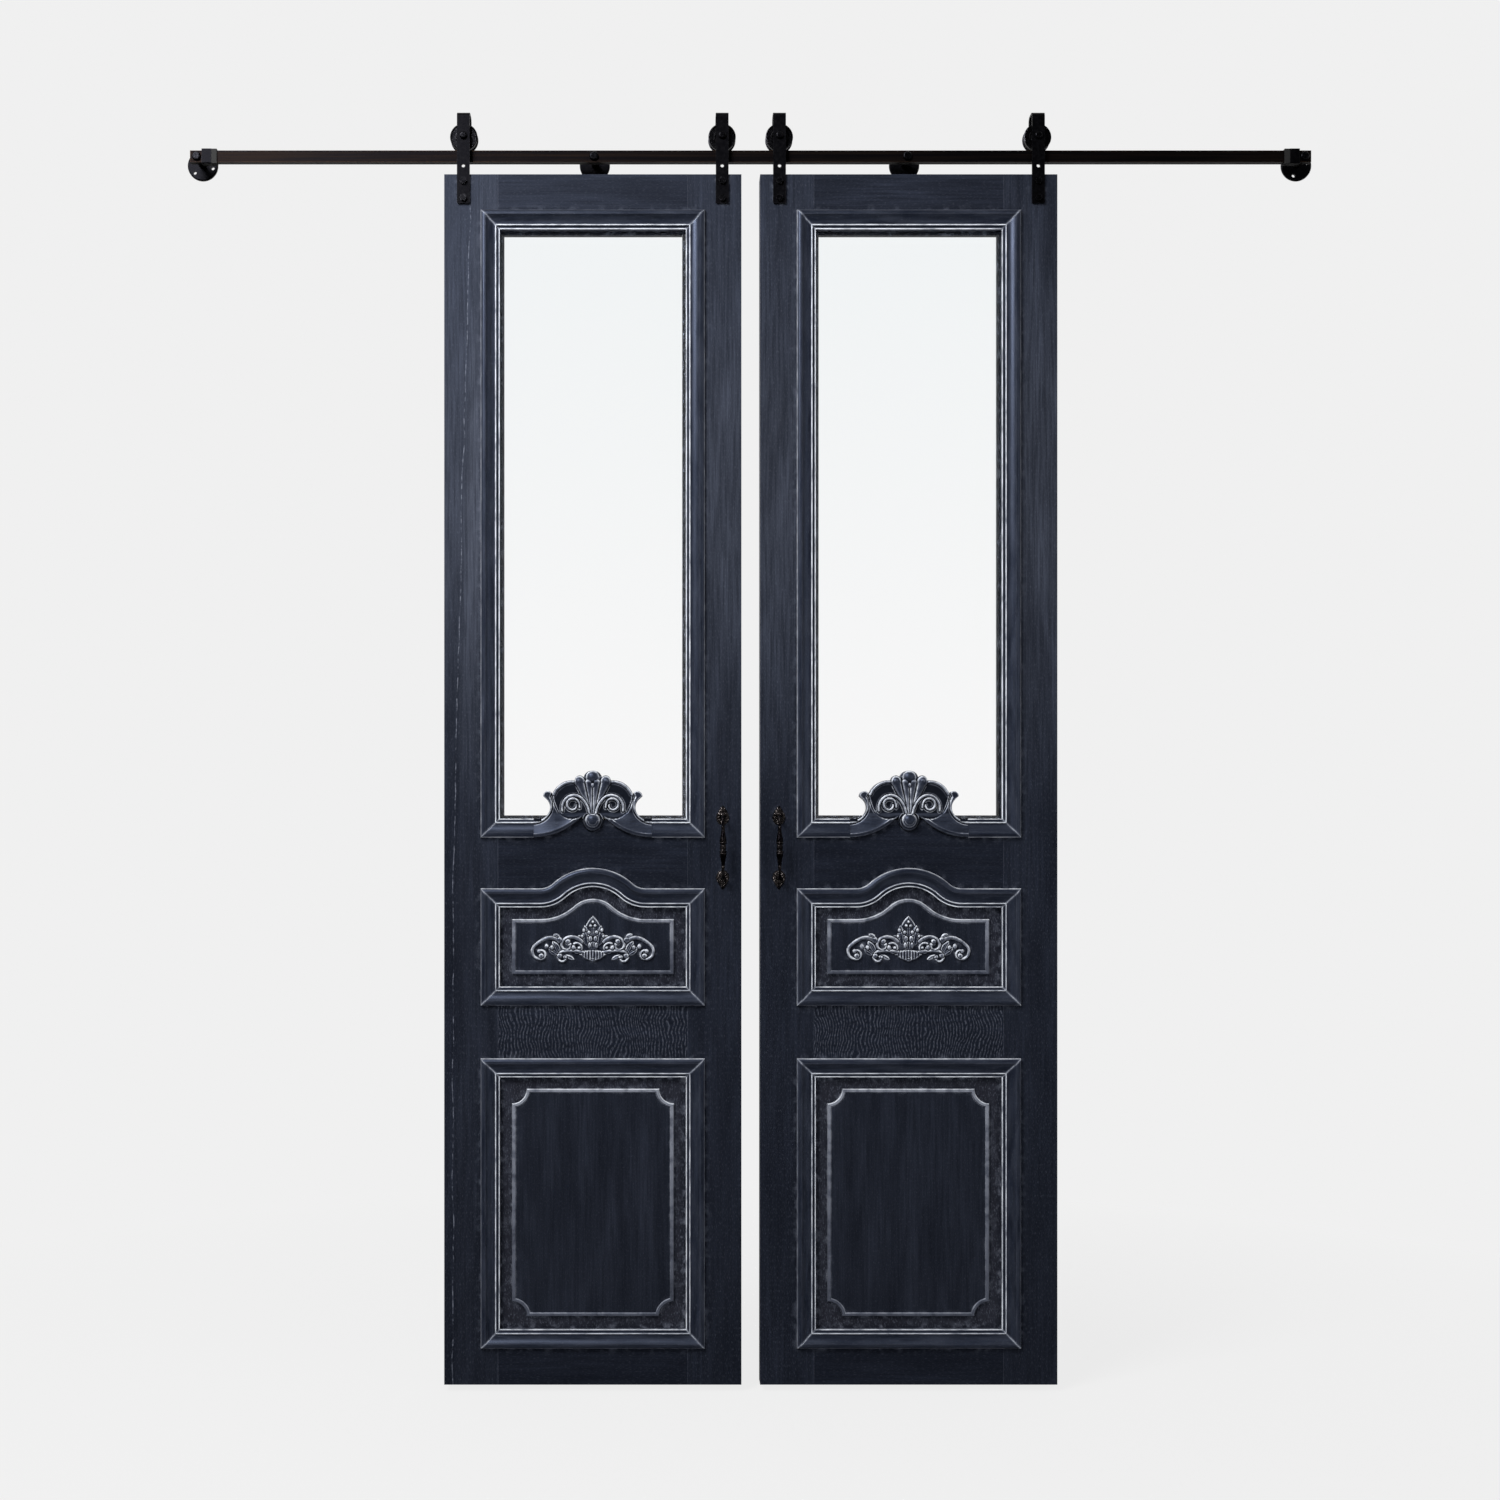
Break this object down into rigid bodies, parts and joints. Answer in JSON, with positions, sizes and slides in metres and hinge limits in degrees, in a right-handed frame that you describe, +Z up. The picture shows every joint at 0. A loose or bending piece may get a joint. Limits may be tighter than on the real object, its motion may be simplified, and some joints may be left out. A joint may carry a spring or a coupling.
{
  "type": "barn doors",
  "caption": "Pair of tall glazed and panelled sliding doors with carved crests, hung by strap rollers from a wall-mounted bar track.",
  "frame": {"origin": "under the middle of the pair, level with the doors' bottom edges, halfway through the depth from wall to handle", "axes": "+X along the track to the viewer's right, +Y towards the wall, +Z up; the front faces -Y"},
  "size_m": [2.012, 0.092, 2.2438],
  "materials": {
    "limed_wood": "dark stained hardwood with pale wax rubbed into the grain and edges",
    "limed_panel": "dark stained hardwood panel with pale wax along its bead",
    "limed_moulding": "dark stained mitred moulding, pale wax on its arrises",
    "carved_wood": "dark stained carving, pale wax on its high edges",
    "clear_glass": "clear float glass",
    "blackened_iron": "satin black iron",
    "bronzed_bar": "dark bronze-brown bar",
    "wheel_iron": "black turned roller",
    "bearing_brass": "plain turned sleeve",
    "cast_pull": "rough dark casting with worn high points",
    "black_rubber": "matt black"
  },
  "bodies": {
    "track": {"track_bar": "bronzed_bar", "standoffs": "blackened_iron", "track_bolts": "blackened_iron", "end_stop_left": "blackened_iron", "end_stop_right": "blackened_iron", "bumpers": "black_rubber", "wall_flange_1": "blackened_iron", "wall_flange_2": "blackened_iron", "wall_flange_3": "blackened_iron", "wall_flange_4": "blackened_iron"},
    "left_door": {"left_stile_outer": "limed_wood", "left_stile_inner": "limed_wood", "left_top_rail": "limed_wood", "left_lock_rail": "limed_wood", "left_mid_rail": "limed_wood", "left_bottom_rail": "limed_wood", "left_upper_panel": "limed_panel", "left_lower_panel": "limed_panel", "left_glass": "clear_glass", "left_glass_stops": "limed_wood", "left_lite_moulding": "limed_moulding", "left_lite_crest": "carved_wood", "left_upper_moulding": "limed_moulding", "left_lower_moulding": "limed_moulding", "left_applique": "carved_wood", "left_handle": "cast_pull", "left_handle_screws": "blackened_iron", "left_strap_outer": "blackened_iron", "left_strap_inner": "blackened_iron", "left_strap_bolts": "blackened_iron", "left_axle_bolts": "blackened_iron"},
    "left_wheel_outer": {"left_wheel_outer": "wheel_iron", "left_bush_outer": "bearing_brass"},
    "left_wheel_inner": {"left_wheel_inner": "wheel_iron", "left_bush_inner": "bearing_brass"},
    "right_door": {"right_stile_outer": "limed_wood", "right_stile_inner": "limed_wood", "right_top_rail": "limed_wood", "right_lock_rail": "limed_wood", "right_mid_rail": "limed_wood", "right_bottom_rail": "limed_wood", "right_upper_panel": "limed_panel", "right_lower_panel": "limed_panel", "right_glass": "clear_glass", "right_glass_stops": "limed_wood", "right_lite_moulding": "limed_moulding", "right_lite_crest": "carved_wood", "right_upper_moulding": "limed_moulding", "right_lower_moulding": "limed_moulding", "right_applique": "carved_wood", "right_handle": "cast_pull", "right_handle_screws": "blackened_iron", "right_strap_outer": "blackened_iron", "right_strap_inner": "blackened_iron", "right_strap_bolts": "blackened_iron", "right_axle_bolts": "blackened_iron"},
    "right_wheel_outer": {"right_wheel_outer": "wheel_iron", "right_bush_outer": "bearing_brass"},
    "right_wheel_inner": {"right_wheel_inner": "wheel_iron", "right_bush_inner": "bearing_brass"}
  },
  "joints": [
    {"name": "left_slide", "type": "slide", "parent": "track", "child": "left_door", "axis": [1, 0, 0], "range_m": [-0.422, 0.0162]},
    {"name": "left_outer_roll", "type": "hinge", "parent": "left_door", "child": "left_wheel_outer", "pos_m": [-0.5065, 0.0015, 2.2013], "axis": [0, 1, 0], "continuous": true},
    {"name": "left_inner_roll", "type": "hinge", "parent": "left_door", "child": "left_wheel_inner", "pos_m": [-0.0505, 0.0015, 2.2013], "axis": [0, 1, 0], "continuous": true},
    {"name": "right_slide", "type": "slide", "parent": "track", "child": "right_door", "axis": [1, 0, 0], "range_m": [-0.0162, 0.422]},
    {"name": "right_outer_roll", "type": "hinge", "parent": "right_door", "child": "right_wheel_outer", "pos_m": [0.5065, 0.0015, 2.2013], "axis": [0, 1, 0], "continuous": true},
    {"name": "right_inner_roll", "type": "hinge", "parent": "right_door", "child": "right_wheel_inner", "pos_m": [0.0505, 0.0015, 2.2013], "axis": [0, 1, 0], "continuous": true}
  ],
  "couplings": [
    {"joint": "left_outer_roll", "follows": "left_slide", "rad_per_m": 44.444},
    {"joint": "left_inner_roll", "follows": "left_slide", "rad_per_m": 44.444},
    {"joint": "right_outer_roll", "follows": "right_slide", "rad_per_m": 44.444},
    {"joint": "right_inner_roll", "follows": "right_slide", "rad_per_m": 44.444}
  ]
}
